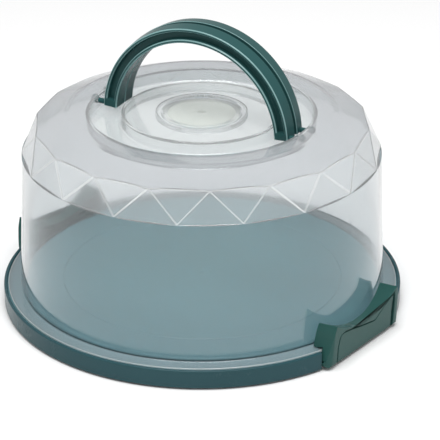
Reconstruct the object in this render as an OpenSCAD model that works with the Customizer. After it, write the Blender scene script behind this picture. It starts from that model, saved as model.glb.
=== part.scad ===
// Round cake carrier: a tray, a clear faceted dome held down by two latches
// on the rim, and a carrying handle whose two halves fold into the dome's top.
// Origin: centre of the tray's foot ring, on the surface it stands on.
// +X points at the right latch, +Z up, millimetres.

/* [Tray] */
// Diameter over the tray's rim
rim_d = 250; // [240:1:260]
// Height of the rim above its own lower edge
rim_h = 11.3; // [11:0.1:12]
// Wall thickness of the tray
tray_t = 2.2; // [1.8:0.1:2.4]
// How far the foot ring lifts the rim off the table
foot_h = 1.2; // [1.2:0.1:2]
// Number of stiffening ribs under the tray
rib_count = 12; // [6:1:18]

/* [Dome] */
// Height of the dome's round wall above the rim's lower edge
wall_h = 98.3; // [80:0.1:120]
// Height of the band of triangular facets
facet_h = 17.8; // [16:0.1:20]
// Facets round the dome, counted along one edge of the band
facet_count = 18; // [16:1:20]
// Wall thickness of the dome
dome_t = 1.8; // [1.5:0.1:2]
// Thickness of the flange that the dome stands on
flange_t = 1.6; // [1.4:0.1:1.6]
// Depth of the round dish in the middle of the top
dish_depth = 1.3; // [1:0.1:2]
// Height of the ribbed ring that hangs under the dish
skirt_h = 5.2; // [4:0.1:6]

/* [Handle] */
// Outer radius of the handle's arch
arch_r = 64; // [62:0.5:65]
// Width of the arch from its inside to its outside
arch_w = 10; // [9:0.1:12]
// Thickness of one half of the handle
half_t = 10.6; // [10:0.1:11.4]
// Depth of the groove along each half
groove_depth = 4; // [3:0.5:5]
// Turn of the handle about the vertical, from the line of the latches
handle_turn = 10; // [0:1:20]

/* [Latch] */
// Width of a latch along the rim
latch_w = 76.8; // [70:0.1:77]
// Height of a latch at its ends
latch_end_h = 28.4; // [26:0.1:30]
// Height of a latch in the middle
latch_mid_h = 18.3; // [18:0.1:20]
// Radius of the hinge pin
pin_r = 1.25; // [1:0.05:1.3]

/* [Hidden] */
$fn = 96;
over = 1;                              // overshoot of a cutting shape
overlap = 0.01;                        // how far two joined shapes run into each other
fit = 0.08;                            // running clearance of a pin, on the radius
gap = 0.3;                             // clearance between pieces that don't touch

// Radii of the tray, worked inwards from the rim
rim_r = rim_d / 2;
rim_lip_r = rim_r - 2.1;               // inside of the rim's lip
platform_r = rim_r - 13.5;             // raised floor that carries the cake
ring_line_r = rim_r * 0.7;             // fine groove on the floor
foot_r = 105;
ledge_z = rim_h - 1.4;                 // ledge that the dome's flange stands on
platform_z = rim_h + 1.4;

// Radii and heights of the dome
flange_r = rim_lip_r - 0.7;
wall_low_r = rim_r - 10.7;
wall_top_r = wall_low_r - 3.7;
band_top_r = wall_top_r - 7.9;         // corners of the band's upper edge
band_top_z = wall_h + facet_h;
cone_rise = 7.7;                       // of the smooth cone above the band
cone_top_r = band_top_r - 20.1;
land_z = band_top_z + cone_rise;
cone_slope = cone_rise / (band_top_r - cone_top_r);
plateau_z = land_z - 0.7;
recess_in_r = 49;                      // the ring-shaped recess for the folded handle
recess_out_r = 68.6;
recess_z = land_z - 8.5;
recess_draft = 0.3;
skirt_r = 27.6;
skirt_t = 3;
dish_r = skirt_r - skirt_t;
dish_floor_r = 20.7;
flange_top_z = ledge_z + flange_t;

// Places on the handle
arch_z = land_z - 8.1;                 // centre of the arch
seam = 0.15;                           // from the middle plane to a half's flat back
pivot_v = 7.1;                         // pivot line of a half, off the middle plane
pivot_z = arch_z + 4.3;
foot_deg = 3;                          // where a leg ends, as an angle of the arch
foot_block_deg = 4.4;                  // solid end of a leg
outer_rib = 2;
inner_rib = 2.2;
crown_drop = 1;                        // from the seam to the outer edge of a half
peg_r = 1.7;
peg_head_r = 2.5;
peg_head_l = 2.2;
peg_head_u = recess_out_r + dome_t;    // wall that a peg's head snaps behind
peg_play = 0.1;

// Places on a latch
bay_half = 39.1;                       // half width of the gap in the rim
latch_half = latch_w / 2;
pin_x = rim_r - 7;
pin_z = 5;
pin_half_l = 28.6;
knuckle_r = 2.4;
lug_y = 22;                            // middle of a tray lug
lug_w = 4;
knuckle_w = 4.3;
latch_low = 0.4;                       // lower edge of a latch, above the rim's
face_x = rim_r - 1.7;                  // outer face of a latch at its lower edge
face_lean = 3.2;
plate_in_r = flange_r + gap;           // inner face of a latch, clear of the flange
hook_in_r = wall_low_r + 2.2;
hook_z = flange_top_z + gap;
hook_t = 3;                            // floor of the hook, under its pockets
latch_corner_r = 5;
end_drop_y = 6;                        // how far the ends lean in towards the top
saddle_half = latch_half - end_drop_y;
saddle_rise = latch_end_h - latch_mid_h;
saddle_r = (saddle_half * saddle_half + saddle_rise * saddle_rise) / (2 * saddle_rise);
saddle_tilt = 8;                       // the top slopes down towards the dome
shelf_t = 2.4;
panel_depth = 0.6;

colour_base = [0.25, 0.42, 0.42];
colour_pin = [0.75, 0.76, 0.78];
colour_clear = [0.86, 0.9, 0.9, 0.45];

// ---- Tray -----------------------------------------------------------------

module tray_section() {
    groove_half = 0.4;
    groove_deep = 0.35;
    polygon([
        [0, platform_z - tray_t],
        [platform_r - 2.6, platform_z - tray_t],
        [platform_r - 2, ledge_z - tray_t],
        [rim_r - tray_t, ledge_z - tray_t],
        [rim_r - tray_t, 0],
        [rim_r, 0],
        [rim_r, rim_h - 0.6],
        [rim_r - 0.6, rim_h],
        [rim_lip_r, rim_h],
        [rim_lip_r, ledge_z],
        [platform_r + 0.5, ledge_z],
        [platform_r, platform_z - 0.6],
        [platform_r - 0.6, platform_z],
        [ring_line_r + groove_half, platform_z],
        [ring_line_r + groove_half / 2, platform_z - groove_deep],
        [ring_line_r - groove_half / 2, platform_z - groove_deep],
        [ring_line_r - groove_half, platform_z],
        [0, platform_z]]);
}

module ring(r, t, z0, z1) {
    translate([0, 0, z0]) difference() {
        cylinder(r = r, h = z1 - z0);
        translate([0, 0, -over]) cylinder(r = r - t, h = z1 - z0 + 2 * over);
    }
}

// Ribs and rings that stiffen the underside
module underside() {
    hub_r = 28;
    rib_t = 1.6;
    rib_low = 6;
    top = platform_z - tray_t / 2;
    ring(foot_r, 2.2, -foot_h, top);
    ring(hub_r, 2, rib_low, top);
    for (i = [0 : rib_count - 1]) rotate((i + 0.5) * 360 / rib_count)
        translate([hub_r - over, -rib_t / 2, rib_low])
            cube([foot_r - hub_r, rib_t, top - rib_low]);
}

// Two lugs under the ledge carry the hinge pin of a latch
module hinge_lugs() {
    for (side = [-1, 1]) translate([0, side * lug_y + lug_w / 2, 0]) rotate([90, 0, 0])
        linear_extrude(lug_w) difference() {
            union() {
                translate([pin_x, pin_z]) circle(knuckle_r);
                polygon([
                    [pin_x - knuckle_r, pin_z], [pin_x + knuckle_r, pin_z],
                    [pin_x + knuckle_r / 2, ledge_z - tray_t / 2],
                    [pin_x - knuckle_r - 3.6, ledge_z - tray_t / 2]]);
            }
            translate([pin_x, pin_z]) circle(pin_r + 0.02);
        }
}

// Gap in the rim where a latch sits
module latch_bay() {
    intersection() {
        translate([0, -bay_half, -over]) cube([rim_r + over, 2 * bay_half, rim_h + 2 * over]);
        difference() {
            translate([0, 0, -over]) cylinder(r = rim_r + over, h = rim_h + 2 * over);
            translate([0, 0, -2 * over]) cylinder(r = flange_r - 0.2, h = rim_h + 4 * over);
        }
    }
}

module base_tray() color(colour_base) translate([0, 0, foot_h]) {
    gate_r = 1.6;
    gate_depth = 0.3;
    difference() {
        union() {
            rotate_extrude() tray_section();
            underside();
        }
        for (turn = [0, 180]) rotate(turn) latch_bay();
        translate([0, 0, platform_z - gate_depth]) cylinder(r = gate_r, h = over);
    }
    for (turn = [0, 180]) rotate(turn) hinge_lugs();
}

// ---- Dome -----------------------------------------------------------------

// Corners of one edge of the facet band
function ring_points(r, z, shift) = [
    for (i = [0 : facet_count - 1])
        let (a = (i + shift) * 360 / facet_count) [r * cos(a), r * sin(a), z]];

// Solid bounded by a band of triangles: corners point down at half steps and
// up at whole steps; above the band its upper edge runs on at the same slope
module facet_solid(low_r, low_z, top_r, top_z) {
    n = facet_count;
    rise = cone_rise + 3;
    apothem = cos(180 / n);
    slope = (low_r - top_r * apothem) / (top_z - low_z);
    points = concat(
        ring_points(low_r, low_z, 0.5),
        ring_points(top_r, top_z, 0),
        ring_points(top_r - rise * slope / apothem, top_z + rise, 0));
    faces = concat(
        [[for (i = [0 : n - 1]) i]],
        [for (i = [0 : n - 1]) [i, n + (i + 1) % n, (i + 1) % n]],
        [for (i = [0 : n - 1]) [i, n + i, n + (i + 1) % n]],
        [for (i = [0 : n - 1]) [n + i, 2 * n + i, 2 * n + (i + 1) % n, n + (i + 1) % n]],
        [[for (i = [n - 1 : -1 : 0]) 2 * n + i]]);
    polyhedron(points, faces);
}

// Cone above the band, the land and the plateau, as a solid of revolution
module crown_solid(base_z, drop, shift) {
    reach = wall_top_r + 2;
    step_r = (recess_in_r + recess_out_r) / 2;
    rotate_extrude() polygon([
        [0, base_z], [reach, base_z],
        [reach, land_z - drop - (reach - cone_top_r + shift) * cone_slope],
        [cone_top_r - shift, land_z - drop],
        [step_r, land_z - drop], [step_r, plateau_z - drop],
        [0, plateau_z - drop]]);
}

module dome_outside() {
    translate([0, 0, ledge_z]) cylinder(r = flange_r, h = flange_t);
    translate([0, 0, ledge_z])
        cylinder(r1 = wall_low_r, r2 = wall_top_r, h = wall_h - ledge_z);
    intersection() {
        facet_solid(wall_top_r, wall_h - overlap, band_top_r, band_top_z);
        crown_solid(wall_h - over, 0, 0);
    }
}

module dome_inside() {
    low_z = wall_h - dome_t * 0.32;
    corner_in = 0.05;                  // keeps the corners off the wall's own circle
    translate([0, 0, ledge_z - over])
        cylinder(r1 = wall_low_r - dome_t, r2 = wall_top_r - dome_t, h = low_z - ledge_z + over);
    intersection() {
        facet_solid(wall_top_r - dome_t - corner_in, low_z - overlap,
                    band_top_r - dome_t * 0.89, band_top_z - dome_t * 0.5);
        crown_solid(low_z - over, dome_t, dome_t * cone_slope);
    }
}

// Ring-shaped trough for the folded handle; grow thickens it into its wall
module recess(grow) {
    top = land_z + over;
    rotate_extrude() polygon([
        [recess_in_r + recess_draft - grow, recess_z - grow],
        [recess_out_r - recess_draft + grow, recess_z - grow],
        [recess_out_r + grow, top],
        [recess_in_r - grow, top]]);
}

// Shallow dish in the middle of the plateau
module dish() {
    translate([0, 0, plateau_z - dish_depth]) cylinder(
        r1 = dish_floor_r, r2 = 2 * dish_r - dish_floor_r, h = 2 * dish_depth);
}

// Floor of the dish and the ring that hangs round it under the plateau
module dish_wall() {
    floor_z = plateau_z - dish_depth - dome_t;
    rotate_extrude() polygon([
        [0, floor_z], [skirt_r - skirt_t, floor_z],
        [skirt_r - skirt_t, plateau_z - skirt_h], [skirt_r, plateau_z - skirt_h],
        [skirt_r, plateau_z], [0, plateau_z]]);
}

// Runs its children at each of the four pivots, with Z along the pivot
module at_pivots() {
    for (side = [-1, 1], turn = [0, 180])
        rotate(turn) translate([0, side * pivot_v, pivot_z]) rotate([0, 90, 0]) children();
}

module lid_dome() color(colour_clear) translate([0, 0, foot_h]) rotate(handle_turn)
    difference() {
        dome_outside();
        difference() {
            dome_inside();
            recess(dome_t);
            dish_wall();
        }
        recess(0);
        dish();
        at_pivots() translate([0, 0, recess_out_r - 4]) cylinder(r = peg_r + fit, h = 8);
        at_pivots() translate([0, 0, peg_head_u - 0.2]) cylinder(r = peg_head_r + gap, h = 4);
    }

// ---- Handle ---------------------------------------------------------------

// Groove along the flat side of a half, between its outer and inner ribs
module groove_section() {
    inner = arch_r - arch_w + inner_rib;
    outer = arch_r - crown_drop - outer_rib;
    draft = 0.3;
    polygon([
        [inner + draft, half_t - groove_depth], [outer - draft, half_t - groove_depth],
        [outer + draft, half_t + over], [inner - draft, half_t + over]]);
}

// Neck and head of the two snap pegs, on the pivot line of a half
module pegs() {
    neck_in = 2;                       // how far the neck runs into the leg
    for (turn = [0, 180]) rotate(turn)
        translate([0, turn == 0 ? -pivot_v : pivot_v, pivot_z]) rotate([0, 90, 0]) {
            translate([0, 0, arch_r - neck_in])
                cylinder(r = peg_r, h = peg_head_u - arch_r + neck_in + gap);
            translate([0, 0, peg_head_u + peg_play])
                cylinder(r1 = peg_head_r, r2 = peg_r, h = peg_head_l);
        }
}

// Runs a section round the arch, from an angle above one foot to the same above the other
module sweep(from_deg) {
    rotate(from_deg) rotate_extrude(angle = 180 - 2 * from_deg) children();
}

// One half of the handle, on the -Y side of the middle plane
module handle_half() color(colour_base) {
    translate([0, 0, arch_z]) rotate([90, 0, 0]) difference() {
        sweep(foot_deg) polygon([
            [arch_r - arch_w, seam], [arch_r, seam],
            [arch_r - crown_drop, half_t], [arch_r - arch_w, half_t]]);
        sweep(foot_deg + foot_block_deg) groove_section();
    }
    pegs();
}

module handle_front() translate([0, 0, foot_h]) rotate(handle_turn) handle_half();
module handle_rear() translate([0, 0, foot_h]) rotate(handle_turn + 180) handle_half();

// ---- Latches --------------------------------------------------------------

// Front view of a latch: Y across, Z up
module latch_outline() {
    round_r = 3;
    shoulder_z = 12.5;
    lean_z = 21.5;
    top = latch_end_h + 1;
    half = [
        [latch_half - 0.2, latch_low + round_r], [latch_half - 2, shoulder_z],
        [latch_half - 3.8, lean_z], [saddle_half - 0.5, top]];
    polygon(concat(
        [[latch_half - round_r, latch_low]], half,
        [for (i = [3 : -1 : 0]) [-half[i].x, half[i].y]],
        [[round_r - latch_half, latch_low]]));
    for (side = [-1, 1])
        translate([side * (latch_half - round_r - 0.05), latch_low + round_r]) circle(round_r);
}

// Half of a latch's plan: flat outer face and a rounded corner
module latch_plan() {
    square([face_x, latch_half - latch_corner_r]);
    square([face_x - latch_corner_r, latch_half]);
    translate([face_x - latch_corner_r, latch_half - latch_corner_r]) circle(latch_corner_r);
}

// Cylinder across the top of a latch that gives its saddle shape
module saddle(grow) {
    translate([face_x, 0, latch_mid_h + saddle_r]) rotate([0, 90 - saddle_tilt, 0])
        cylinder(r = saddle_r + grow, h = latch_w, center = true);
}

// Runs its children leaning outwards with the latch's face
module leaning() {
    translate([face_x, 0, 0]) rotate([0, face_lean, 0]) translate([-face_x, 0, 0]) children();
}

// Everything between a round inner face and the latch's outer contour, above low
module latch_slab(inner_r, low) {
    high = latch_end_h + 10;
    difference() {
        intersection() {
            rotate([90, 0, 90]) linear_extrude(rim_r + 5) latch_outline();
            leaning() translate([0, 0, -over]) linear_extrude(high) {
                latch_plan();
                mirror([0, 1]) latch_plan();
            }
            translate([0, -latch_w, low]) cube([2 * rim_r, 2 * latch_w, high]);
        }
        translate([0, 0, low - over]) cylinder(r = inner_r, h = high, $fn = 180);
        saddle(0);
    }
}

// Pockets that core out the hook's two ends from the dome's side
module hook_pockets() {
    pocket_y = 12;
    pocket_w = 19.2;
    depth = 12;
    for (side = [0, 1]) mirror([0, side]) difference() {
        intersection() {
            translate([hook_in_r - depth, pocket_y, hook_z + hook_t])
                cube([2 * depth, pocket_w, latch_end_h]);
            cylinder(r = plate_in_r, h = 2 * latch_end_h, $fn = 180);
        }
        saddle(shelf_t);
    }
}

// Rounded hollow under the hook, so that it swings clear of the dome's flange
module swing_relief() {
    corner_in = flange_r - pin_x;
    corner_up = flange_top_z - pin_z;
    reach = sqrt(corner_in * corner_in + corner_up * corner_up) + gap;
    intersection() {
        translate([pin_x, 0, pin_z]) rotate([90, 0, 0])
            cylinder(r = reach, h = 2 * latch_w, center = true);
        translate([0, 0, hook_z - overlap]) cylinder(r = plate_in_r, h = reach, $fn = 180);
    }
}

// Everything below the hinge that would touch the table as the latch swings open
module table_relief() {
    table_gap = 0.2;
    difference() {
        translate([pin_x, -latch_w, latch_low - over])
            cube([rim_r - pin_x, 2 * latch_w, pin_z - latch_low + over]);
        translate([pin_x, 0, pin_z]) rotate([90, 0, 0])
            cylinder(r = pin_z + foot_h - table_gap, h = 3 * latch_w, center = true);
    }
}

// Hollows round the tray's lugs
module lug_relief() {
    for (side = [-1, 1]) translate([pin_x, side * lug_y, pin_z]) rotate([90, 0, 0])
        cylinder(r = knuckle_r + 2 * gap, h = lug_w + 2 * gap, center = true);
}

// Shallow panel let into the outer face, under the sweep of the saddle
module face_panel() {
    leaning() translate([face_x - panel_depth, 0, 0]) rotate([90, 0, 90]) linear_extrude(4)
        polygon([
            [-29.5, -2], [-29.8, 12], [-28.5, 17.5], [-26, 20], [-22, 20.4],
            [-14, 19], [-4, 16.8], [4, 15.2], [10, 14.2], [18, 19.4],
            [25.5, 23.2], [30.5, 25.4], [31.3, 18], [31, -2]]);
}

// Two knuckles beside each lug of the tray, joined to the latch's inner face
module latch_knuckles() {
    root = 1.2;                        // from a knuckle's foot to the outer face
    for (side = [-1, 1], place = [-1, 1])
        translate([0, side * lug_y + place * (lug_w + knuckle_w + 2 * gap) / 2, 0])
            rotate([90, 0, 0]) linear_extrude(knuckle_w, center = true) {
                translate([pin_x, pin_z]) circle(knuckle_r);
                translate([pin_x, pin_z - knuckle_r])
                    square([face_x - pin_x - root, 2 * knuckle_r]);
            }
}

// Thicker strip behind the outer face that the knuckles spring from
module hinge_strip() {
    half = 30;
    strip_in = pin_x + knuckle_r + 0.4;
    translate([strip_in, -half, latch_low])
        cube([face_x - strip_in - 0.7, 2 * half, knuckle_r + pin_z - latch_low]);
}

module latch_body() {
    difference() {
        union() {
            difference() {
                union() {
                    latch_slab(plate_in_r, latch_low);
                    latch_slab(hook_in_r, hook_z);
                    hinge_strip();
                }
                swing_relief();
                table_relief();
                lug_relief();
            }
            latch_knuckles();
        }
        hook_pockets();
        face_panel();
        translate([pin_x, 0, pin_z]) rotate([90, 0, 0])
            cylinder(r = pin_r + fit, h = latch_w, center = true);
    }
}

module hinge_pin() {
    translate([pin_x, 0, pin_z]) rotate([90, 0, 0])
        cylinder(r = pin_r, h = 2 * pin_half_l, center = true);
}

module latch_right() color(colour_base) translate([0, 0, foot_h]) latch_body();
module latch_left() color(colour_base) translate([0, 0, foot_h]) rotate(180) latch_body();
module latch_pin_right() color(colour_pin) translate([0, 0, foot_h]) hinge_pin();
module latch_pin_left() color(colour_pin) translate([0, 0, foot_h]) rotate(180) hinge_pin();

base_tray();
lid_dome();
latch_right();
latch_left();
latch_pin_right();
latch_pin_left();
handle_front();
handle_rear();
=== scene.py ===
"""Round cake carrier: a green tray, a clear faceted dome, two rim latches and a handle that folds in two.

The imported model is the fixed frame. Every piece below is made around it in metres, +Z up, with the
origin on the table under the middle of the tray, and rides on the body that it belongs to.
"""

import math

import bmesh
import bpy
from mathutils import Matrix, Vector


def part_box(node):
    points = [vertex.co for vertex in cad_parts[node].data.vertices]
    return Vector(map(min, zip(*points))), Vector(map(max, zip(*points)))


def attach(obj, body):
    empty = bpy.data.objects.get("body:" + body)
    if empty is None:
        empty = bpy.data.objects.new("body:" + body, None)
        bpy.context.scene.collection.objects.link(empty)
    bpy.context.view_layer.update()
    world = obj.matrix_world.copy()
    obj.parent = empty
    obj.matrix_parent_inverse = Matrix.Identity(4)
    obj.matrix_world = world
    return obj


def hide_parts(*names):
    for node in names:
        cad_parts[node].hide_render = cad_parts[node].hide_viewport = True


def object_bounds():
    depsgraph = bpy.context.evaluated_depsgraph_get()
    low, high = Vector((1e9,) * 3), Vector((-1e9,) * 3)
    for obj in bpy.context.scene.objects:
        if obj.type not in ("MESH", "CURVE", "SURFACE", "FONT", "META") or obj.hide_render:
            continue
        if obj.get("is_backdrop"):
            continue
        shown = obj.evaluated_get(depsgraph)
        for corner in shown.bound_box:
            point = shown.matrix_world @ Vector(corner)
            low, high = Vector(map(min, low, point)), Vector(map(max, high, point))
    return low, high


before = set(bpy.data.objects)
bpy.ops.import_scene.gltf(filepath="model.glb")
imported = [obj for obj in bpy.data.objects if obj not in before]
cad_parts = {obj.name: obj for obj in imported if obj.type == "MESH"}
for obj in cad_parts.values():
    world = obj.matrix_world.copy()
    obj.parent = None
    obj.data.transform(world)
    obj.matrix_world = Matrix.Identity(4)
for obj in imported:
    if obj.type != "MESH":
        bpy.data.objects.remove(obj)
CAD_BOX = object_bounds()

bl_info = {
    "name": "Cake Carrier",
    "version": (1, 0, 0),
    "blender": (4, 5, 0),
    "location": "View3D > Sidebar > Carrier",
    "description": "Finishes a round cake carrier around its packed model",
    "category": "Object",
}

MM = 0.001
PHOTO_SIDE = 440  # the photograph's width and height, in pixels
LATCH_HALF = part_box("latch_right")[1].y  # half the width of a latch
FINE, CRISP, SMALL = 0.1 * MM, 0.4 * MM, 0.5 * MM  # radii of corners that are barely rounded


# ---- Sizes and colours ------------------------------------------------------


def length(name, description, millimetres):
    """A length property, given in millimetres and held in metres."""
    return bpy.props.FloatProperty(
        name=name, description=description, default=millimetres * MM, min=0.0, unit="LENGTH", precision=5
    )


def count(name, description, default):
    """A whole-number property."""
    return bpy.props.IntProperty(name=name, description=description, default=default, min=3)


def colour(name, description, default):
    """A linear RGB colour property."""
    return bpy.props.FloatVectorProperty(
        name=name, description=description, default=default, subtype="COLOR", size=3, min=0.0, max=1.0
    )


class CarrierTraySizes(bpy.types.PropertyGroup):
    """Sizes of the tray."""

    rim_r: length("Rim radius", "Outer radius of the rim", 125)
    rim_h: length("Rim height", "Height of the rim above its own lower edge", 11.3)
    foot_h: length("Foot height", "How far the foot ring lifts the rim off the table", 1.2)
    wall: length("Wall", "Thickness of the tray", 2.2)
    rib_count: count("Ribs", "Stiffening ribs under the tray", 12)
    edge: length("Edge radius", "Rounding of the rim's edges", 0.7)


class CarrierDomeSizes(bpy.types.PropertyGroup):
    """Sizes of the dome."""

    wall_h: length("Wall height", "Height of the round wall above the rim's lower edge", 98.3)
    facet_h: length("Facet height", "Height of the band of triangles", 17.8)
    facet_count: count("Facets", "Facets along one edge of the band", 18)
    wall: length("Wall", "Thickness of the dome", 1.8)
    dish: length("Dish depth", "Depth of the round dish in the top", 1.3)
    skirt_h: length("Skirt height", "Height of the ribbed ring that hangs under the dish", 5.2)
    rib_count: count("Skirt ribs", "Upright ribs round the ring under the dish", 96)
    crease: length("Crease", "Width of the creases between facets", 0.32)


class CarrierHandleSizes(bpy.types.PropertyGroup):
    """Sizes of the handle."""

    arch_r: length("Arch radius", "Outer radius of the arch", 64)
    arch_w: length("Arch width", "From the inside of the arch to its outside", 10)
    half_t: length("Half thickness", "Thickness of one half of the handle", 10.6)
    groove: length("Groove depth", "Depth of the groove along each half", 4)
    edge: length("Edge radius", "Rounding of the handle's edges", 0.9)
    turn: bpy.props.FloatProperty(
        name="Turn", description="Turn of the handle from the line of the latches",
        default=math.radians(10), subtype="ANGLE",
    )


class CarrierColours(bpy.types.PropertyGroup):
    """Colours of the carrier, in linear light."""

    green: colour("Green", "Green of the handle", (0.021, 0.074, 0.074))
    # edge is a painted highlight: a lighter green on the handle's rounded lips, where light would catch
    # them
    edge: colour("Edges", "Lighter green of the handle's rounded lips", (0.18, 0.32, 0.32))
    latch: colour("Latch", "Green of the latches", (0.021, 0.076, 0.068))
    rim: colour("Rim", "Green of the tray's rim and underside", (0.021, 0.066, 0.077))
    # floor is lighter than the rim's green as painted top light on the tray's upward faces
    floor: colour("Tray floor", "Green of the satin floor of the tray", (0.097, 0.215, 0.243))
    clear: colour("Dome wall", "Tint of the clear wall of the dome", (0.79, 0.81, 0.82))
    top: colour("Dome top", "Tint of the flat top and of the trough", (0.89, 0.91, 0.91))
    cone: colour("Dome shoulder", "Tint of the sloping shoulder and of the flange", (0.69, 0.705, 0.72))
    frosted: colour("Facets", "Tint of the facets and of the ring under the dish", (0.80, 0.82, 0.83))
    dish: colour("Dish", "Tint of the floor of the dish", (0.79, 0.82, 0.78))
    # bright is a painted highlight: a milkier, lighter clear on the creases, the ledge and the flange's
    # edge
    bright: colour("Dome edges", "Tint of the creases and of the flange's edge", (0.90, 0.915, 0.905))
    steel: colour("Pins", "Steel of the hinge pins", (0.56, 0.57, 0.58))
    ground: colour("Ground", "Pale surface under the carrier", (0.88, 0.88, 0.88))


# ---- Mesh tools -------------------------------------------------------------


def rounded(corners, step):
    """Points of an outline whose corners (x, y, radius) are rounded, with a point every step degrees."""
    points = []
    for i, (x, y, radius) in enumerate(corners):
        here = Vector((x, y))
        if radius <= 0:
            points.append(here)
            continue
        before = (Vector(corners[i - 1][:2]) - here).normalized()
        after = (Vector(corners[(i + 1) % len(corners)][:2]) - here).normalized()
        half_angle = before.angle(after) / 2
        reach = radius / math.tan(half_angle)
        centre = here + (before + after).normalized() * radius / math.sin(half_angle)
        start = here + before * reach - centre
        sweep = start.angle_signed(here + after * reach - centre)
        pieces = max(2, math.ceil(abs(math.degrees(sweep)) / step))
        for k in range(pieces + 1):
            spoke = start.copy()
            spoke.rotate(Matrix.Rotation(-sweep * k / pieces, 2))
            points.append(centre + spoke)
    return [(p.x, p.y) for p in points]


def arc(x, y, radius, start, end, steps):
    """Points of an arc between two angles in degrees."""
    angles = [math.radians(start + (end - start) * i / steps) for i in range(steps + 1)]
    return [(x + radius * math.cos(a), y + radius * math.sin(a)) for a in angles]


def circle(x, y, radius, steps=32):
    """Points of a circle."""
    return arc(x, y, radius, 0, 360, steps)[:-1]


def link(name, mesh):
    """A new object in the scene."""
    made = bpy.data.objects.new(name, mesh)
    bpy.context.scene.collection.objects.link(made)
    return made


def piece(name, bm):
    """A new object with the mesh in bm, its faces turned outwards."""
    bmesh.ops.recalc_face_normals(bm, faces=bm.faces)
    mesh = bpy.data.meshes.new(name)
    bm.to_mesh(mesh)
    bm.free()
    return link(name, mesh)


def lathe(name, outline, steps=288, sweep=math.tau):
    """A closed outline of (radius, height) points turned about Z; points on the axis close at a pole."""
    on_axis, whole_turn = 1e-7, 1e-6  # how near to zero a radius, or to a full turn a sweep, counts as it
    bm = bmesh.new()
    full = abs(sweep - math.tau) < whole_turn
    turns = [sweep * i / steps for i in range(steps if full else steps + 1)]
    rings = []
    for r, height in outline:
        if r < on_axis:
            rings.append([bm.verts.new((0, 0, height))] * len(turns))
        else:
            rings.append([bm.verts.new((r * math.cos(a), r * math.sin(a), height)) for a in turns])
    for i, ring in enumerate(rings):
        other = rings[(i + 1) % len(rings)]
        for k in range(len(turns) if full else len(turns) - 1):
            after = (k + 1) % len(turns)
            corners = list(dict.fromkeys((ring[k], ring[after], other[after], other[k])))
            if len(corners) > 2:
                bm.faces.new(corners)
    if not full:
        for end in (0, -1):
            bm.faces.new([ring[end] for ring in rings])
    return piece(name, bm)


def prism(name, outline, low, high):
    """An outline of (x, y) points raised from low to high."""
    bm = bmesh.new()
    floor = [bm.verts.new((x, y, low)) for x, y in outline]
    top = [bm.verts.new((x, y, high)) for x, y in outline]
    bm.faces.new(floor)
    bm.faces.new(top)
    for i in range(len(outline)):
        k = (i + 1) % len(outline)
        bm.faces.new((floor[i], floor[k], top[k], top[i]))
    return piece(name, bm)


def place(made, *matrices):
    """Moves a piece's own mesh by each matrix in turn, and returns the piece."""
    for matrix in matrices:
        made.data.transform(matrix)
    return made


def turn(degrees, axis="Z"):
    """A rotation about an axis through the origin."""
    return Matrix.Rotation(math.radians(degrees), 4, axis)


def to_side(side):
    """Takes what is made for the right latch to the right (side 1) or to the left (side -1)."""
    return turn(90 - 90 * side)


def shift(x=0.0, y=0.0, z=0.0):
    """A move by x, y and z."""
    return Matrix.Translation((x, y, z))


def settle(made):
    """Turns a piece's modifiers into plain mesh and removes them."""
    bpy.context.view_layer.update()
    graph = bpy.context.evaluated_depsgraph_get()
    ready = made.evaluated_get(graph)
    mesh = bpy.data.meshes.new_from_object(ready, preserve_all_data_layers=True, depsgraph=graph)
    made.modifiers.clear()
    made.data = mesh
    return made


def combine(made, operation, *others):
    """Cuts, joins or intersects a piece with others, which are used up."""
    for other in others:
        boolean = made.modifiers.new("boolean", "BOOLEAN")
        boolean.operation = operation
        boolean.solver = "EXACT"
        boolean.object = other
        settle(made)
        bpy.data.objects.remove(other)
    return made


def soften(made, angle, width=0.0):
    """Rounds edges sharper than angle degrees, if a width is given, and shades smoothly between edges."""
    if width > 0:
        bevel = made.modifiers.new("bevel", "BEVEL")
        bevel.width = width
        bevel.segments = 2
        bevel.limit_method = "ANGLE"
        bevel.angle_limit = math.radians(angle)
        bevel.miter_outer = "MITER_ARC"
        settle(made)
    made.data.shade_smooth()
    made.data.set_sharp_from_angle(angle=math.radians(angle))
    weighted = made.modifiers.new("weighted", "WEIGHTED_NORMAL")
    weighted.keep_sharp = True
    return settle(made)


def merged_copy(node, name):
    """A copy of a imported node's mesh, with its loose triangles merged into whole faces."""
    same_place, same_plane = 1e-7, math.radians(0.4)
    bm = bmesh.new()
    bm.from_mesh(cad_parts[node].data)
    bmesh.ops.remove_doubles(bm, verts=bm.verts, dist=same_place)
    bmesh.ops.dissolve_limit(bm, angle_limit=same_plane, verts=bm.verts, edges=bm.edges)
    return piece(name, bm)


BAR_INPUTS = {
    "Geometry": "NodeSocketGeometry", "Bars": "NodeSocketInt", "Radius": "NodeSocketFloat",
    "Bar Size": "NodeSocketVector", "Bar Middle": "NodeSocketVector", "Twist": "NodeSocketFloat",
    "Phase": "NodeSocketFloat", "Material": "NodeSocketMaterial",
}


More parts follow.
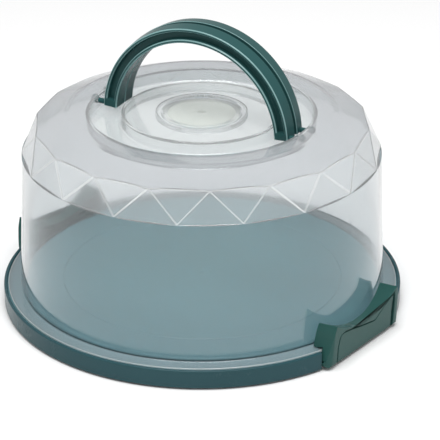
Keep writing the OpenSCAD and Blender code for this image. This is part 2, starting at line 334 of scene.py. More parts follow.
def bars_tree(name):
    """Geometry Nodes that stand bars on a circle round the Z axis, each turned with its place."""
    tree = bpy.data.node_groups.new(name, "GeometryNodeTree")
    tree.interface.new_socket("Geometry", in_out="OUTPUT", socket_type="NodeSocketGeometry")
    for label, kind in BAR_INPUTS.items():
        tree.interface.new_socket(label, in_out="INPUT", socket_type=kind)
    given = tree.nodes.new("NodeGroupInput").outputs

    def add(kind, inputs, **settings):
        """The first output of a new node, whose inputs are links or values."""
        node = tree.nodes.new(kind)
        for key, value in settings.items():
            setattr(node, key, value)
        for key, value in inputs.items():
            if isinstance(value, bpy.types.NodeSocket):
                tree.links.new(value, node.inputs[key])
            else:
                node.inputs[key].default_value = value
        return node.outputs[0]

    points = add("GeometryNodeMeshCircle", {"Vertices": given["Bars"], "Radius": given["Radius"]})
    bar = add("GeometryNodeMeshCube", {"Size": given["Bar Size"]})
    place_number = add("GeometryNodeInputIndex", {})
    pitch = add("ShaderNodeMath", {0: math.tau, 1: given["Bars"]}, operation="DIVIDE")
    angle = add("ShaderNodeMath", {0: place_number, 1: pitch, 2: given["Twist"]}, operation="MULTIPLY_ADD")
    facing = add("ShaderNodeCombineXYZ", {"Z": angle})
    stood = add("GeometryNodeInstanceOnPoints", {"Points": points, "Instance": bar, "Rotation": facing})
    phase = add("ShaderNodeCombineXYZ", {"Z": given["Phase"]})
    real = add("GeometryNodeRealizeInstances", {"Geometry": stood})
    moved = add(
        "GeometryNodeTransform", {"Geometry": real, "Translation": given["Bar Middle"], "Rotation": phase}
    )
    dressed = add("GeometryNodeSetMaterial", {"Geometry": moved, "Material": given["Material"]})
    tree.links.new(dressed, tree.nodes.new("NodeGroupOutput").inputs["Geometry"])
    return tree


def ring_of_bars(name, bars, radius, size, low, phase=0.0, twist=0.0):
    """Upright bars round the Z axis; size is (radial, sideways, height) and low their foot."""
    values = {
        "Bars": bars, "Radius": radius, "Bar Size": size, "Bar Middle": (0.0, 0.0, low + size[2] / 2),
        "Twist": twist, "Phase": phase,
    }
    made = link(name, bpy.data.meshes.new(name))
    modifier = made.modifiers.new("bars", "NODES")
    modifier.node_group = bars_tree(name + "_nodes")
    for socket in modifier.node_group.interface.items_tree:
        if socket.name in values:
            modifier[socket.identifier] = values[socket.name]
    return settle(made)


# ---- Materials --------------------------------------------------------------


class Wire:
    """The value on a socket. Arithmetic on it adds Math nodes to the same material."""

    def __init__(self, recipe, socket):
        self.recipe = recipe
        self.socket = socket

    def _math(self, operation, first, second):
        return self.recipe.add("ShaderNodeMath", {"operation": operation}, {0: first, 1: second})

    def __add__(self, other):
        return self._math("ADD", self, other)

    def __radd__(self, other):
        return self._math("ADD", other, self)

    def __sub__(self, other):
        return self._math("SUBTRACT", self, other)

    def __rsub__(self, other):
        return self._math("SUBTRACT", other, self)

    def __mul__(self, other):
        return self._math("MULTIPLY", self, other)

    def __rmul__(self, other):
        return self._math("MULTIPLY", other, self)

    def clamp(self, low, high):
        """The value, held between low and high."""
        return self._math("MINIMUM", self._math("MAXIMUM", self, low), high)

    def part(self, key):
        """Another output of the same node, by its name or its place."""
        return Wire(self.recipe, self.socket.node.outputs[key])


class Recipe:
    """The node tree of one new material."""

    def __init__(self, name):
        self.material = bpy.data.materials.new(name)
        self.material.use_nodes = True
        self.tree = self.material.node_tree
        self.tree.nodes.clear()

    def add(self, kind, settings, sockets):
        """A node of a type, its settings first, then the values or links of its sockets."""
        node = self.tree.nodes.new(kind)
        for key, value in settings.items():
            setattr(node, key, value)
        for key, value in sockets.items():
            if isinstance(value, Wire):
                self.tree.links.new(value.socket, node.inputs[key])
            else:
                node.inputs[key].default_value = value
        shown = next((output for output in node.outputs if output.enabled), None)
        return Wire(self, shown)

    def noise(self, scale, detail=2.0, stretch=(1.0, 1.0, 1.0)):
        """Smooth noise from 0 to 1 on Object coordinates, with features about 1/scale metres across."""
        spot = self.add("ShaderNodeTexCoord", {}, {}).part("Object")
        stretched = self.add("ShaderNodeMapping", {}, {"Vector": spot, "Scale": stretch})
        return self.add("ShaderNodeTexNoise", {}, {"Vector": stretched, "Scale": scale, "Detail": detail})

    def mix(self, factor, first, second):
        """A colour between first and second."""
        from_socket, to_socket, result = 6, 7, 2  # the places of a Mix node's colour sockets
        sockets = {0: factor, from_socket: first, to_socket: second}
        mixed = self.add("ShaderNodeMix", {"data_type": "RGBA"}, sockets)
        return mixed.part(result)

    def bump(self, height, strength, distance):
        """A normal that follows a height."""
        return self.add(
            "ShaderNodeBump", {}, {"Height": height, "Strength": strength, "Distance": distance}
        )

    def finish(self, shader):
        """The material, with its surface set."""
        self.add("ShaderNodeOutputMaterial", {}, {"Surface": shader})
        return self.material


def shade(rgb, factor):
    """A colour made lighter or darker, with full alpha."""
    return (*(min(1.0, channel * factor) for channel in rgb), 1.0)


def moulded_plastic(name, rgb, roughness, specular, grain):
    """Opaque moulded plastic: faint flow clouds, uneven gloss and a fine grain of the mould's surface."""
    recipe = Recipe(name)
    flow = recipe.noise(22.0, 3.0, (1.0, 1.0, 1.6))
    gloss = recipe.noise(70.0)
    skin = recipe.noise(1400.0)
    tone = recipe.mix(flow, shade(rgb, 0.90), shade(rgb, 1.10))
    uneven = roughness + 0.10 * (gloss - 0.5) + 0.04 * (skin - 0.5)
    body = recipe.add("ShaderNodeBsdfPrincipled", {}, {
        "Base Color": tone, "Roughness": uneven.clamp(0.05, 0.9), "IOR": 1.46,
        "Specular IOR Level": specular, "Normal": recipe.bump(skin + 0.5 * gloss, 0.25, grain),
    })
    return recipe.finish(body)


def clear_plastic(name, rgb, clearness, roughness):
    """Clear plastic: refraction, a milky share of 1 - clearness, and lamps that shine through it."""
    recipe = Recipe(name)
    cloud = recipe.noise(16.0)
    ripple = recipe.noise(30.0, 1.0, (1.0, 1.0, 0.35))
    body = recipe.add("ShaderNodeBsdfPrincipled", {}, {
        "Base Color": recipe.mix(cloud, shade(rgb, 0.985), shade(rgb, 1.0)),
        "Roughness": (roughness + 0.05 * cloud).clamp(0.0, 0.4), "IOR": 1.49,
        "Transmission Weight": clearness, "Normal": recipe.bump(ripple, 0.15, 0.4 * MM),
    })
    lamp = recipe.add("ShaderNodeLightPath", {}, {}).part("Is Shadow Ray")
    through = recipe.add("ShaderNodeBsdfTransparent", {}, {"Color": shade(rgb, 0.5 + 0.5 * clearness)})
    whole = recipe.add("ShaderNodeMixShader", {}, {0: lamp, 1: body, 2: through})
    return recipe.finish(whole)


def drawn_steel(name, rgb):
    """Steel wire, with fine scratches along it."""
    recipe = Recipe(name)
    scratch = recipe.noise(2500.0, stretch=(1.0, 0.02, 1.0))
    tone = recipe.mix(scratch, shade(rgb, 0.85), shade(rgb, 1.1))
    body = recipe.add("ShaderNodeBsdfPrincipled", {}, {
        "Base Color": tone, "Metallic": 1.0, "Roughness": (0.22 + 0.2 * scratch).clamp(0.05, 0.9),
        "Normal": recipe.bump(scratch, 0.2, 0.03 * MM),
    })
    return recipe.finish(body)


def pale_ground(name, rgb):
    """Matt pale surface under the carrier."""
    recipe = Recipe(name)
    grain = recipe.noise(500.0, 3.0)
    tone = recipe.mix(grain, shade(rgb, 0.985), shade(rgb, 1.015))
    body = recipe.add("ShaderNodeBsdfPrincipled", {}, {"Base Color": tone, "Roughness": 0.75})
    return recipe.finish(body)


def dress(made, *materials):
    """Gives a piece its materials, in the order of its slots. Its faces keep the slots that they have."""
    slots = made.data.materials
    for i, material in enumerate(materials):
        if i < len(slots):
            slots[i] = material
        else:
            slots.append(material)
    return made


def empty_slots(made, number):
    """Gives a piece slots without materials, so that its faces can hold their places in them."""
    return dress(made, *[None] * number)


def sort_faces(made, slot_of, plan):
    """Puts each face of a piece in the material slot that slot_of gives for it."""
    for face in made.data.polygons:
        face.material_index = slot_of(face, plan)


# ---- Places on the carrier ---------------------------------------------------


class Plan:
    """Radii and heights worked out from the sizes, in metres; heights are above the table."""

    def __init__(self, sizes):
        tray, dome, handle = sizes.tray, sizes.dome, sizes.handle
        self.lift = tray.foot_h  # height of the rim's lower edge
        self.rim_r = tray.rim_r
        self.rim_top = self.lift + tray.rim_h
        self.lip_r = tray.rim_r - 2.1 * MM
        self.platform_r = tray.rim_r - 13.5 * MM
        self.line_r = tray.rim_r * 0.7
        self.foot_r = 105 * MM
        self.hub_r = 28 * MM
        self.rib_low = self.lift + 6 * MM
        self.ledge_z = self.rim_top - 1.4 * MM
        self.platform_z = self.rim_top + 1.4 * MM
        self.bay_half = LATCH_HALF + 0.7 * MM
        self.pin_x = tray.rim_r - 7 * MM
        self.pin_z = self.lift + 5 * MM
        self.latch_face_x = tray.rim_r - 1.7 * MM

        self.flange_r = self.lip_r - 0.7 * MM
        self.flange_top = self.ledge_z + 1.6 * MM
        self.wall_low_r = tray.rim_r - 10.7 * MM
        self.wall_top_r = self.wall_low_r - 3.7 * MM
        self.wall_top = self.lift + dome.wall_h
        self.draft = (self.wall_low_r - self.wall_top_r) / (self.wall_top - self.ledge_z)
        self.band_top_r = self.wall_top_r - 7.9 * MM
        self.band_top = self.wall_top + dome.facet_h
        self.cone_top_r = self.band_top_r - 20.1 * MM
        self.cone_rise = 7.7 * MM
        self.land_z = self.band_top + self.cone_rise
        self.cone_slope = self.cone_rise / (self.band_top_r - self.cone_top_r)
        self.plateau_z = self.land_z - 0.7 * MM
        self.trough_in_r = 49 * MM
        self.trough_out_r = 68.6 * MM
        self.trough_z = self.land_z - 8.5 * MM
        self.skirt_r = 27.6 * MM
        self.dish_r = self.skirt_r - 3 * MM
        self.dish_floor_r = 20.7 * MM
        self.dish_z = self.plateau_z - dome.dish
        self.skirt_low = self.plateau_z - dome.skirt_h

        self.arch_z = self.land_z - 8.1 * MM
        self.arch_in_r = handle.arch_r - handle.arch_w
        self.crown_r = handle.arch_r - 1.0 * MM
        self.half_t = handle.half_t
        self.seam = 0.15 * MM  # from the middle plane to a half's flat back
        self.step_w = 1.4 * MM  # the open step along the outer edge of the seam
        self.step_d = 2.6 * MM
        self.foot_deg = 3  # where a leg ends, as an angle of the arch
        self.block_deg = 4.4  # solid end of a leg
        self.pivot_v = 7.1 * MM
        self.pivot_z = self.arch_z + 4.3 * MM
        self.peg_r = 1.7 * MM
        self.peg_head_r = 2.5 * MM
        self.peg_head_u = self.trough_out_r + dome.wall


def carrier():
    """The scene's sizes and colours, and the places worked out from them."""
    sizes = bpy.context.scene.carrier
    return sizes, Plan(sizes)


# ---- Tray -------------------------------------------------------------------


def tray_body(tray, plan):
    """The tray's plate with its rim, ledge, foot ring and hub ring, as one turned shape."""
    wall, edge = tray.wall, tray.edge
    under, ledge_under = plan.platform_z - wall, plan.ledge_z - wall
    foot_in, foot_out = plan.foot_r - wall, plan.foot_r
    hub_in, hub_out = plan.hub_r - 2 * MM, plan.hub_r
    line_w, line_d, line_edge = 0.45 * MM, 0.4 * MM, 0.15 * MM
    gate_r, gate_z = 1.6 * MM, plan.platform_z - 0.3 * MM
    broad = 1.2 * MM  # radius of the bends in the plate
    corners = [
        (0, gate_z, 0), (gate_r, gate_z, FINE), (gate_r + 0.2 * MM, plan.platform_z, FINE),
        (plan.line_r - line_w, plan.platform_z, line_edge), (plan.line_r, plan.platform_z - line_d, FINE),
        (plan.line_r + line_w, plan.platform_z, line_edge), (plan.platform_r, plan.platform_z, 1.1 * MM),
        (plan.platform_r + 0.4 * MM, plan.ledge_z, SMALL), (plan.lip_r, plan.ledge_z, CRISP),
        (plan.lip_r, plan.rim_top, edge), (plan.rim_r, plan.rim_top, edge * 1.2),
        (plan.rim_r, plan.lift, CRISP), (plan.rim_r - wall, plan.lift, CRISP),
        (plan.rim_r - wall, ledge_under, 0.8 * MM), (plan.platform_r - 2 * MM, ledge_under, broad),
        (plan.platform_r - 2.6 * MM, under, broad), (foot_out, under, SMALL), (foot_out, 0, SMALL),
        (foot_in, 0, SMALL), (foot_in, under, SMALL), (hub_out, under, CRISP),
        (hub_out, plan.rib_low, CRISP), (hub_in, plan.rib_low, CRISP), (hub_in, under, CRISP),
        (0, under, 0),
    ]
    return lathe("tray", rounded(corners, step=18))


def tray_ribs(tray, plan):
    """The ribs between the hub ring and the foot ring, which run a little way into both."""
    rib_t, sunk = 1.6 * MM, MM  # sunk is measured in from each ring's outer face
    start, end = plan.hub_r - sunk, plan.foot_r - sunk
    height = plan.platform_z - tray.wall / 2 - plan.rib_low
    return ring_of_bars(
        "ribs", tray.rib_count, (start + end) / 2, (end - start, rib_t, height), plan.rib_low,
        phase=math.pi / tray.rib_count,
    )


def latch_bay(plan, side):
    """The space that a latch takes out of the rim."""
    inner, outer = plan.flange_r - 0.2 * MM, plan.rim_r + 5 * MM
    reach = math.degrees(math.asin(plan.bay_half / inner))
    outline = [(outer, -plan.bay_half), *arc(0, 0, inner, -reach, reach, 48), (outer, plan.bay_half)]
    return place(prism("bay", outline, -MM, plan.rim_top + MM), to_side(side))


def hinge_lug(plan, side, y):
    """A lug under the ledge that carries the hinge pin of a latch."""
    x, z = plan.pin_x, plan.pin_z
    r, bore_r, half = 2.4 * MM, 1.27 * MM, 2 * MM
    top, root = plan.ledge_z - 1.1 * MM, 3.6 * MM
    outline = [*arc(x, z, r, 180, 360, 15), (x + r / 2, top), (x - r - root, top)]
    stand = (turn(90, "X"), shift(y=y))
    lug = place(prism("lug", outline, -half, half), *stand)
    bore = place(prism("bore", circle(x, z, bore_r), -2 * half, 2 * half), *stand)
    return place(combine(lug, "DIFFERENCE", bore), to_side(side))


def painted_top_light_slot(face, plan):
    """Slot 1, satin and lighter as painted top light, for what faces up inside the rim's lip; slot 0 for
    the rest.
    """
    near = 0.2 * MM
    upward = face.normal.z > 0.2 and face.center.z > plan.ledge_z - near
    return int(upward and face.center.xy.length < plan.lip_r - near)


class CARRIER_OT_tray(bpy.types.Operator):
    """Make the tray with its latch bays, hinge lugs and stiffening ribs"""

    bl_idname = "carrier.tray"
    bl_label = "Tray"

    def execute(self, context):
        sizes, plan = carrier()
        tray = tray_body(sizes.tray, plan)
        lug_y = 22 * MM
        combine(tray, "UNION", tray_ribs(sizes.tray, plan))
        combine(tray, "DIFFERENCE", *(latch_bay(plan, side) for side in (1, -1)))
        combine(tray, "UNION", *(hinge_lug(plan, side, y) for side in (1, -1) for y in (-lug_y, lug_y)))
        soften(tray, angle=40, width=0.3 * MM)
        colours = sizes.colours
        rim = moulded_plastic("green_rim", colours.rim, roughness=0.26, specular=0.2, grain=0.04 * MM)
        # the floor's satin roughness is its finish; its lighter green is painted top light on the upward
        # faces
        floor = moulded_plastic(
            "satin_floor_painted_top_light", colours.floor, roughness=0.38, specular=0.35, grain=0.06 * MM
        )
        dress(tray, rim, floor)
        sort_faces(tray, painted_top_light_slot, plan)
        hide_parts("base_tray")
        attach(tray, "tray")
        return {"FINISHED"}


# ---- Dome -------------------------------------------------------------------

# the last slot holds a painted highlight: a milkier, lighter clear for the creases, the ledge and the
# flange's edge
WALL, TOP, CONE, FACET, DISH, PAINTED_HIGHLIGHT = range(6)  # slots of the dome's materials
DOME_SLOTS = PAINTED_HIGHLIGHT + 1
DOME_STEP = 7.5  # degrees between the points of the dome's rounded corners
OFF_FACETS = 0.4  # degrees that keep the lathed columns clear of the facets' corners


def facet_hat(dome, plan, low_r, low_z, top_r, top_z):
    """A closed shape with a broad step at low_z and, above it, a band of triangles that leans in."""
    n = dome.facet_count
    rise = plan.cone_rise + 6 * MM
    apothem = math.cos(math.pi / n)
    slope = (low_r - top_r * apothem) / (top_z - low_z)
    broad, deep = 2 * low_r, 0.2
    rings = (
        (broad, low_z - deep, 0.5), (broad, low_z, 0.5), (low_r, low_z, 0.5),
        (top_r, top_z, 0.0), (top_r - rise * slope / apothem, top_z + rise, 0.0),
    )
    bm = bmesh.new()
    made = []
    for r, height, offset in rings:
        angles = [(i + offset) * math.tau / n for i in range(n)]
        made.append([bm.verts.new((r * math.cos(a), r * math.sin(a), height)) for a in angles])
    creases = []
    for lower, upper, straight in ((0, 1, True), (1, 2, True), (2, 3, False), (3, 4, True)):
        for i in range(n):
            k = (i + 1) % n
            a, b, c, d = made[lower][i], made[lower][k], made[upper][i], made[upper][k]
            if straight:
                bm.faces.new((a, b, d, c))
            else:
                bm.faces.new((a, d, c))
                bm.faces.new((a, b, d))
                creases += [bm.edges.get((a, c)), bm.edges.get((a, d))]
    bm.faces.new(made[0])
    bm.faces.new(made[-1])
    top_ring = made[3]
    creases += [bm.edges.get((top_ring[i - 1], top_ring[i])) for i in range(n)]
    # the bevelled creases go into the painted highlight slot, so that they show as bright lines
    bmesh.ops.bevel(
        bm, geom=creases, offset=dome.crease, segments=2, affect="EDGES", profile=0.5, clamp_overlap=True,
        material=PAINTED_HIGHLIGHT,
    )
    return empty_slots(piece("hat", bm), DOME_SLOTS)


def dome_outside(dome, plan):
    """The dome's outside as a solid: flange, wall, facets, cone, trough for the handle and dish."""
    flange_t = 1.6 * MM
    meet_z = plan.band_top - 2 * MM
    meet_r = plan.wall_low_r - plan.draft * (meet_z - plan.ledge_z)
    cone_z = plan.land_z - (meet_r - plan.cone_top_r) * plan.cone_slope
    line_w, line_d, trough_draft, trough_bend = 0.5 * MM, 0.3 * MM, 0.3 * MM, 1.4 * MM
    gate_r, gate_d = 3.2 * MM, 0.7 * MM
    corners = [
        (0, plan.ledge_z, 0), (plan.flange_r, plan.ledge_z, CRISP), (plan.flange_r, plan.flange_top, SMALL),
        (plan.wall_low_r - plan.draft * flange_t, plan.flange_top, 0.7 * MM), (meet_r, cone_z, 0),
        (plan.cone_top_r, plan.land_z, 9 * MM), (plan.trough_out_r, plan.land_z, 0.9 * MM),
        (plan.trough_out_r - trough_draft, plan.trough_z, trough_bend),
        (plan.trough_in_r + trough_draft, plan.trough_z, trough_bend),
        (plan.trough_in_r, plan.plateau_z, 1.1 * MM), (plan.skirt_r + line_w, plan.plateau_z, FINE),
        (plan.skirt_r, plan.plateau_z - line_d, FINE), (plan.skirt_r - line_w, plan.plateau_z, FINE),
        (plan.dish_r, plan.plateau_z, CRISP), (plan.dish_floor_r, plan.dish_z, 0.8 * MM),
        (gate_r, plan.dish_z, SMALL), (0, plan.dish_z - gate_d, 0),
    ]
    outside = place(lathe("dome", rounded(corners, DOME_STEP)), turn(OFF_FACETS))
    hat = facet_hat(
        dome, plan, plan.wall_top_r + 0.05 * MM, plan.wall_top, plan.band_top_r, plan.band_top
    )
    return combine(empty_slots(outside, DOME_SLOTS), "INTERSECT", hat)


def dome_inside(dome, plan):
    """The space under the dome as a solid."""
    t = dome.wall
    low = plan.ledge_z - MM
    meet_z = plan.band_top - 3 * MM
    meet_r = plan.wall_low_r - t - plan.draft * (meet_z - plan.ledge_z)
    cone_z = plan.land_z - t - (meet_r + t * plan.cone_slope - plan.cone_top_r) * plan.cone_slope
    trough_bend, plateau_bend = 2.4 * MM, 0.6 * MM
    corners = [
        (0, low, 0), (plan.wall_low_r - t + plan.draft * MM, low, 0), (meet_r, cone_z, 0),
        (plan.cone_top_r - t * plan.cone_slope, plan.land_z - t, 9 * MM),
        (plan.trough_out_r + t, plan.land_z - t, plateau_bend),
        (plan.trough_out_r + t, plan.trough_z - t, trough_bend),
        (plan.trough_in_r - t, plan.trough_z - t, trough_bend),
        (plan.trough_in_r - t, plan.plateau_z - t, plateau_bend), (plan.skirt_r, plan.plateau_z - t, SMALL),
        (plan.skirt_r, plan.skirt_low, CRISP), (plan.dish_r, plan.skirt_low, CRISP),
        (plan.dish_r, plan.dish_z - t, SMALL), (0, plan.dish_z - t, 0),
    ]
    inside = place(lathe("dome_space", rounded(corners, DOME_STEP)), turn(OFF_FACETS))
    hat = facet_hat(
        dome, plan, plan.wall_top_r - t - 0.05 * MM, plan.wall_top - 0.32 * t,
        plan.band_top_r - 0.89 * t, plan.band_top - 0.5 * t,
    )
    return combine(empty_slots(inside, DOME_SLOTS), "INTERSECT", hat)


def skirt_ribs(dome, plan):
    """The fine upright ribs on the ring under the dish, set cornerwise so that they stand out as ridges."""
    rib, foot, sunk = 0.9 * MM, 0.5 * MM, 0.2 * MM
    low, high = plan.skirt_low + foot, plan.plateau_z - dome.wall + sunk
    return ring_of_bars(
        "skirt_ribs", dome.rib_count, plan.skirt_r, (rib, rib, high - low), low, twist=math.pi / 4
    )


def peg_holes(plan):
    """The four holes in the trough's wall that the handle's pegs snap into."""
    play, half = 0.08 * MM, 4 * MM
    for side in (-1, 1):
        for half_turn in (0, 180):
            hole = prism(
                "hole", circle(0, 0, plan.peg_r + play), plan.trough_out_r - half, plan.trough_out_r + half
            )
            pivot = shift(0, side * plan.pivot_v, plan.pivot_z)
            yield place(hole, turn(90, "Y"), pivot, turn(half_turn))


def dome_slot(face, plan):
    """The slot of a face of the dome, by its place; the bevelled creases keep the painted highlight slot
    that they have.
    """
    height, reach = face.center.z, face.center.xy.length
    near = 0.2 * MM
    ledge = abs(height - plan.wall_top) < near and face.normal.z > 0.9
    flange_edge = height < plan.flange_top + MM and reach > plan.flange_r - 0.9 * MM
    # the ledge and the flange's edge take the painted highlight
    if ledge or flange_edge:
        return PAINTED_HIGHLIGHT
    if reach < plan.dish_floor_r and height > plan.dish_z - 3 * MM:
        return DISH
    if height < plan.flange_top + 0.6 * MM:
        return CONE
    if face.material_index == PAINTED_HIGHLIGHT:
        return PAINTED_HIGHLIGHT
    if height < plan.wall_top - 0.6 * MM:
        return WALL
    banded = height < plan.band_top and reach > plan.band_top_r * 0.97
    skirt = plan.dish_r - near < reach < plan.skirt_r + MM and height < plan.plateau_z - 0.3 * MM
    if banded or skirt:
        return FACET
    return TOP if reach < plan.trough_out_r + MM else CONE


class CARRIER_OT_dome(bpy.types.Operator):
    """Make the clear dome with its facets, trough and ribbed dish"""

    bl_idname = "carrier.dome"
    bl_label = "Dome"

    def execute(self, context):
        sizes, plan = carrier()
        dome = combine(dome_outside(sizes.dome, plan), "DIFFERENCE", dome_inside(sizes.dome, plan))
        combine(dome, "UNION", skirt_ribs(sizes.dome, plan))
        combine(dome, "DIFFERENCE", *peg_holes(plan))
        place(dome, Matrix.Rotation(sizes.handle.turn, 4, "Z"))
        soften(dome, angle=9)
        sort_faces(dome, dome_slot, plan)
        colours = sizes.colours
        dress(
            dome,
            clear_plastic("clear_plastic", colours.clear, clearness=0.97, roughness=0.02),
            clear_plastic("top_plastic", colours.top, clearness=0.90, roughness=0.04),
            clear_plastic("cone_plastic", colours.cone, clearness=0.84, roughness=0.05),
            clear_plastic("frosted_plastic", colours.frosted, clearness=0.82, roughness=0.06),
            clear_plastic("dish_plastic", colours.dish, clearness=0.74, roughness=0.10),
            # the last material is the painted highlight on the creases, the ledge and the flange's edge
            clear_plastic("painted_highlight_clear", colours.bright, clearness=0.66, roughness=0.10),
        )
        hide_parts("lid_dome")
        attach(dome, "lid")
        return {"FINISHED"}


# ---- Handle -----------------------------------------------------------------


def half_arch(name, outline, end_deg, steps):
    """An outline of (radius, depth) points swept round the arch, to end_deg short of each foot."""
    sweep = math.radians(180 - 2 * end_deg)
    return place(lathe(name, rounded(outline, step=15), steps, sweep), turn(end_deg))


def arch_outline(handle, plan):
    """Section of a half, with the open step along the outer edge of the seam."""
    inner, outer, seam, face, edge = plan.arch_in_r, handle.arch_r, plan.seam, plan.half_t, handle.edge
    step_z = seam + plan.step_w
    return [
        (inner, seam, 0.8 * MM), (outer - plan.step_d, seam, 0), (outer - plan.step_d, step_z, 0),
        (outer - plan.step_w / 10, step_z, CRISP), (plan.crown_r, face, edge), (inner, face, edge),
    ]


def groove_outline(handle, plan):
    """Section of the groove along a half, which flares towards its lips."""
    outer_rib, inner_rib = 2 * MM, 2.2 * MM
    draft, flare, bend, over = 0.3 * MM, 0.7 * MM, 0.8 * MM, 0.1 * MM
    face, floor = plan.half_t, plan.half_t - handle.groove
    lip_in, lip_out = plan.arch_in_r + inner_rib, plan.crown_r - outer_rib
    return [
        (lip_in - flare, face + over, 0), (lip_in, face - flare, bend), (lip_in + draft, floor, bend),
        (lip_out - draft, floor, bend), (lip_out, face - flare, bend), (lip_out + flare, face + over, 0),
    ]


def peg_outline(handle, plan):
    """Half section of a snap peg: its neck from inside the leg, and its head behind the dome's wall."""
    root = handle.arch_r - 2 * MM
    head, tip = plan.peg_head_u + 0.1 * MM, plan.peg_head_u + 2.3 * MM
    return [
        (0, root, 0), (plan.peg_r, root, 0), (plan.peg_r, head, 0), (plan.peg_head_r, head, 0.3 * MM),
        (plan.peg_r, tip, CRISP), (0, tip, 0),
    ]


def painted_highlight_slot(face, plan):
    """Slot 1, the lighter green of a painted highlight, for a half's rounded lips while it lies flat, and
    slot 0 for the rest.
    """
    middle, normal = face.center, face.normal
    across = middle.xy.dot(normal.xy) / middle.xy.length
    near_face = middle.z > plan.half_t - 0.75 * MM
    near_seam = middle.z < plan.seam + plan.step_w + 0.5 * MM
    return int((near_face or near_seam) and abs(across) > 0.3 and abs(normal.z) > 0.3)


def handle_half(name, handle, plan):
    """One half of the handle, on the -Y side, before it is turned to its place."""
    half = half_arch(name, arch_outline(handle, plan), plan.foot_deg, 180)
    groove = half_arch("groove", groove_outline(handle, plan), plan.foot_deg + plan.block_deg, 170)
    combine(half, "DIFFERENCE", groove)
    empty_slots(half, 2)
    # the rounded lips go into slot 1, which holds the painted highlight
    sort_faces(half, painted_highlight_slot, plan)
    place(half, turn(90, "X"), shift(z=plan.arch_z))
    for tilt in (90, -90):
        peg = lathe("peg", rounded(peg_outline(handle, plan), step=20), 32)
        combine(half, "UNION", place(peg, turn(tilt, "Y"), shift(0, -plan.pivot_v, plan.pivot_z)))
    return half


class CARRIER_OT_handle(bpy.types.Operator):
    """Make the two halves of the carrying handle"""

    bl_idname = "carrier.handle"
    bl_label = "Handle"

    def execute(self, context):
        sizes, plan = carrier()
        colours, grain = sizes.colours, 0.03 * MM
        green = moulded_plastic("green_plastic", colours.green, roughness=0.24, specular=0.14, grain=grain)
        # light is a painted highlight: a lighter green for the rounded lips, in place of light caught on
        # them
        light = moulded_plastic("green_painted_highlight", colours.edge, roughness=0.20, specular=0.4, grain=grain)
        for body, half_turn in (("handle_front", 0), ("handle_rear", 180)):
            half = handle_half(body + "_half", sizes.handle, plan)
            place(half, turn(half_turn), Matrix.Rotation(sizes.handle.turn, 4, "Z"))
            soften(half, angle=40)
            dress(half, green, light)
            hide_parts(body)
            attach(half, body)
        return {"FINISHED"}


# ---- Latches ----------------------------------------------------------------


def round_outer_edges(latch, side, width):
    """Rounds the edges of a latch that show from outside, and leaves the ones by its hinge sharp."""
    outer_x, lower_z = 122.9 * MM, 2.5 * MM  # past both lie the edges of the outer face
    hook_z, front_x, side_y = 14.5 * MM, 121 * MM, 31 * MM  # above hook_z, those past either of the others
    end_y, sharpest = 35 * MM, math.radians(35)  # past end_y, the latch's two ends
    same_place = 0.02 * MM
    bm = bmesh.new()
    bm.from_mesh(latch.data)
    bmesh.ops.remove_doubles(bm, verts=bm.verts, dist=same_place)
    shown = []
    for edge in bm.edges:
        middle = (edge.verts[0].co + edge.verts[1].co) / 2
        x, y, z = side * middle.x, abs(middle.y), middle.z
        outside = (x > outer_x and z > lower_z) or (z > hook_z and (x > front_x or y > side_y))
        bent = len(edge.link_faces) == 2 and edge.calc_face_angle_signed() > sharpest
        if bent and (outside or y > end_y):
            shown.append(edge)
    bmesh.ops.bevel(
        bm, geom=shown, offset=width, segments=2, affect="EDGES", profile=0.5, clamp_overlap=False
    )
    bm.to_mesh(latch.data)
    bm.free()
    return latch


PANEL_CORNERS = [  # (across, up, radius) of the panel's edge on a latch's face, in millimetres
    (-29.5, -2, 0), (-29.8, 12, 4), (-28, 20, 4), (-22, 20.4, 4), (-14, 19, 8), (-4, 16.8, 8),
    (10, 14.2, 2.5), (18, 19.4, 6), (30.5, 25.4, 1.5), (31.3, 18, 4), (31, -2, 0),
]


def panel_line(plan, side):
    """The narrow line cut into a latch's outer face, inside the edge of its shallow panel, as a solid."""
    lean, depth, over = 3.2, 1.6 * MM, 4 * MM
    level_w, extra_w = 0.9, 0.8  # width of the line where it runs level, and what it gains where it climbs
    corners = [(across * MM, up * MM, radius * MM) for across, up, radius in PANEL_CORNERS]
    path = [Vector(point) for point in rounded(corners, step=12)]
    inner = []
    for i, here in enumerate(path):
        along = (path[min(i + 1, len(path) - 1)] - path[max(i - 1, 0)]).normalized()
        width = (level_w + extra_w * abs(along.y)) * MM
        inner.append(here + Vector((along.y, -along.x)) * width)
    strip = [(point.x, point.y) for point in path + inner[::-1]]
    upright = Matrix(((0, 0, 1, 0), (1, 0, 0, 0), (0, 1, 0, 0), (0, 0, 0, 1)))  # X, Y, Z go to Y, Z, X
    to_face = shift(plan.latch_face_x, 0, plan.lift)
    return place(prism("panel_line", strip, -depth, over), upright, turn(lean, "Y"), to_face, to_side(side))


class CARRIER_OT_latches(bpy.types.Operator):
    """Make the two rim latches, with their edges rounded, and finish their hinge pins"""

    bl_idname = "carrier.latches"
    bl_label = "Latches"

    def execute(self, context):
        sizes, plan = carrier()
        colours = sizes.colours
        green = moulded_plastic(
            "green_latch", colours.latch, roughness=0.24, specular=0.18, grain=0.03 * MM
        )
        steel = drawn_steel("pin_steel", colours.steel)
        for side, way in (("right", 1), ("left", -1)):
            node = "latch_" + side
            latch = combine(merged_copy(node, node + "_cover"), "DIFFERENCE", panel_line(plan, way))
            soften(round_outer_edges(latch, way, width=0.45 * MM), angle=38)
            dress(latch, green)
            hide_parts(node)
            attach(latch, node)
            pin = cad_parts["latch_pin_" + side]
            pin.data.materials.clear()
            pin.data.materials.append(steel)
        return {"FINISHED"}


# ---- Stage ------------------------------------------------------------------


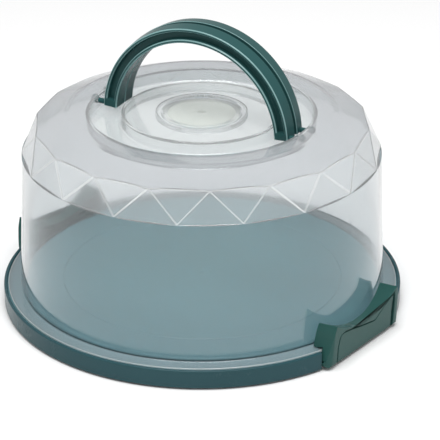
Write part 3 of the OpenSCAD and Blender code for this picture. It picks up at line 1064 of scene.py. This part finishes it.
def add_world(strength):
    """An even white surround."""
    world = bpy.data.worlds.new("surround")
    world.use_nodes = True
    background = world.node_tree.nodes["Background"]
    background.inputs["Color"].default_value = (1.0, 1.0, 1.0, 1.0)
    background.inputs["Strength"].default_value = strength
    bpy.context.scene.world = world
    bpy.context.scene.view_settings.view_transform = "Standard"


def add_lamp(name, spot, side, power):
    """A square soft lamp that faces the middle of the carrier."""
    middle = Vector((0, 0, 60 * MM))
    light = bpy.data.lights.new(name, "AREA")
    light.size = side
    light.energy = power
    lamp = link(name, light)
    lamp.location = spot
    lamp.rotation_euler = (middle - lamp.location).to_track_quat("-Z", "Y").to_euler()


def add_camera():
    """The photograph's view: a long lens, 25 degrees up, from the front between the latches."""
    focal_pixels = 2152.0
    distance = 1.3456
    elevation = math.radians(25.54)
    azimuth = math.radians(37.0)
    axis_height = 50.3 * MM
    sideways = 11.2 * MM
    back = Vector((
        math.sin(azimuth) * math.cos(elevation),
        -math.cos(azimuth) * math.cos(elevation),
        math.sin(elevation),
    ))
    aim = Vector((math.cos(azimuth) * sideways, math.sin(azimuth) * sideways, axis_height))
    data = bpy.data.cameras.new("camera")
    data.sensor_width = 36.0
    data.lens = focal_pixels / PHOTO_SIDE * data.sensor_width
    camera = link("camera", data)
    camera.location = aim + back * distance
    camera.rotation_euler = back.to_track_quat("Z", "Y").to_euler()
    bpy.context.scene.camera = camera


class CARRIER_OT_stage(bpy.types.Operator):
    """Make the pale floor, the soft light and the camera"""

    bl_idname = "carrier.stage"
    bl_label = "Stage"

    def execute(self, context):
        sizes, _ = carrier()
        reach, thickness = 8, 0.01
        floor = lathe("floor", [(0, 0), (reach, 0), (reach, -thickness), (0, -thickness)], 96)
        dress(floor, pale_ground("pale_ground", sizes.colours.ground))
        floor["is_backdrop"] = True
        add_world(strength=0.62)
        add_lamp("overhead", spot=(0.22, -0.29, 1.37), side=1.0, power=18.5)
        add_camera()
        return {"FINISHED"}


# ---- Add-on -----------------------------------------------------------------


class CarrierSettings(bpy.types.PropertyGroup):
    """Sizes and colours of the whole carrier."""

    tray: bpy.props.PointerProperty(
        type=CarrierTraySizes, name="Tray", description="Sizes of the tray"
    )
    dome: bpy.props.PointerProperty(
        type=CarrierDomeSizes, name="Dome", description="Sizes of the dome"
    )
    handle: bpy.props.PointerProperty(
        type=CarrierHandleSizes, name="Handle", description="Sizes of the handle"
    )
    colours: bpy.props.PointerProperty(
        type=CarrierColours, name="Colours", description="Colours of the carrier"
    )


class CARRIER_PT_panel(bpy.types.Panel):
    """The carrier's sizes, colours and steps, in the 3D view's sidebar"""

    bl_label = "Cake Carrier"
    bl_space_type = "VIEW_3D"
    bl_region_type = "UI"
    bl_category = "Carrier"

    def draw(self, context):
        settings = context.scene.carrier
        for title in ("tray", "dome", "handle", "colours"):
            box = self.layout.box()
            box.label(text=title.capitalize())
            group = getattr(settings, title)
            for name in group.bl_rna.properties.keys():
                if name not in ("rna_type", "name"):
                    box.prop(group, name)
        for step in STEPS:
            self.layout.operator(step.bl_idname)


STEPS = (CARRIER_OT_tray, CARRIER_OT_dome, CARRIER_OT_handle, CARRIER_OT_latches, CARRIER_OT_stage)
CLASSES = (
    CarrierTraySizes, CarrierDomeSizes, CarrierHandleSizes, CarrierColours, CarrierSettings, *STEPS,
    CARRIER_PT_panel,
)


def register():
    """Adds the carrier's classes and its settings to Blender."""
    for cls in CLASSES:
        bpy.utils.register_class(cls)
    bpy.types.Scene.carrier = bpy.props.PointerProperty(type=CarrierSettings)


def unregister():
    """Takes them out again."""
    del bpy.types.Scene.carrier
    for cls in reversed(CLASSES):
        bpy.utils.unregister_class(cls)


def write_size():
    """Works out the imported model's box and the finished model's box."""

    boxes = {"cad": CAD_BOX, "visual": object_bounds()}
    {name: [list(corner) for corner in box] for name, box in boxes.items()}


def main():
    """Makes the carrier and its stage, in order."""
    register()
    bpy.ops.carrier.tray()
    bpy.ops.carrier.dome()
    bpy.ops.carrier.handle()
    bpy.ops.carrier.latches()
    bpy.ops.carrier.stage()
    write_size()


if __name__ == "__main__":
    main()
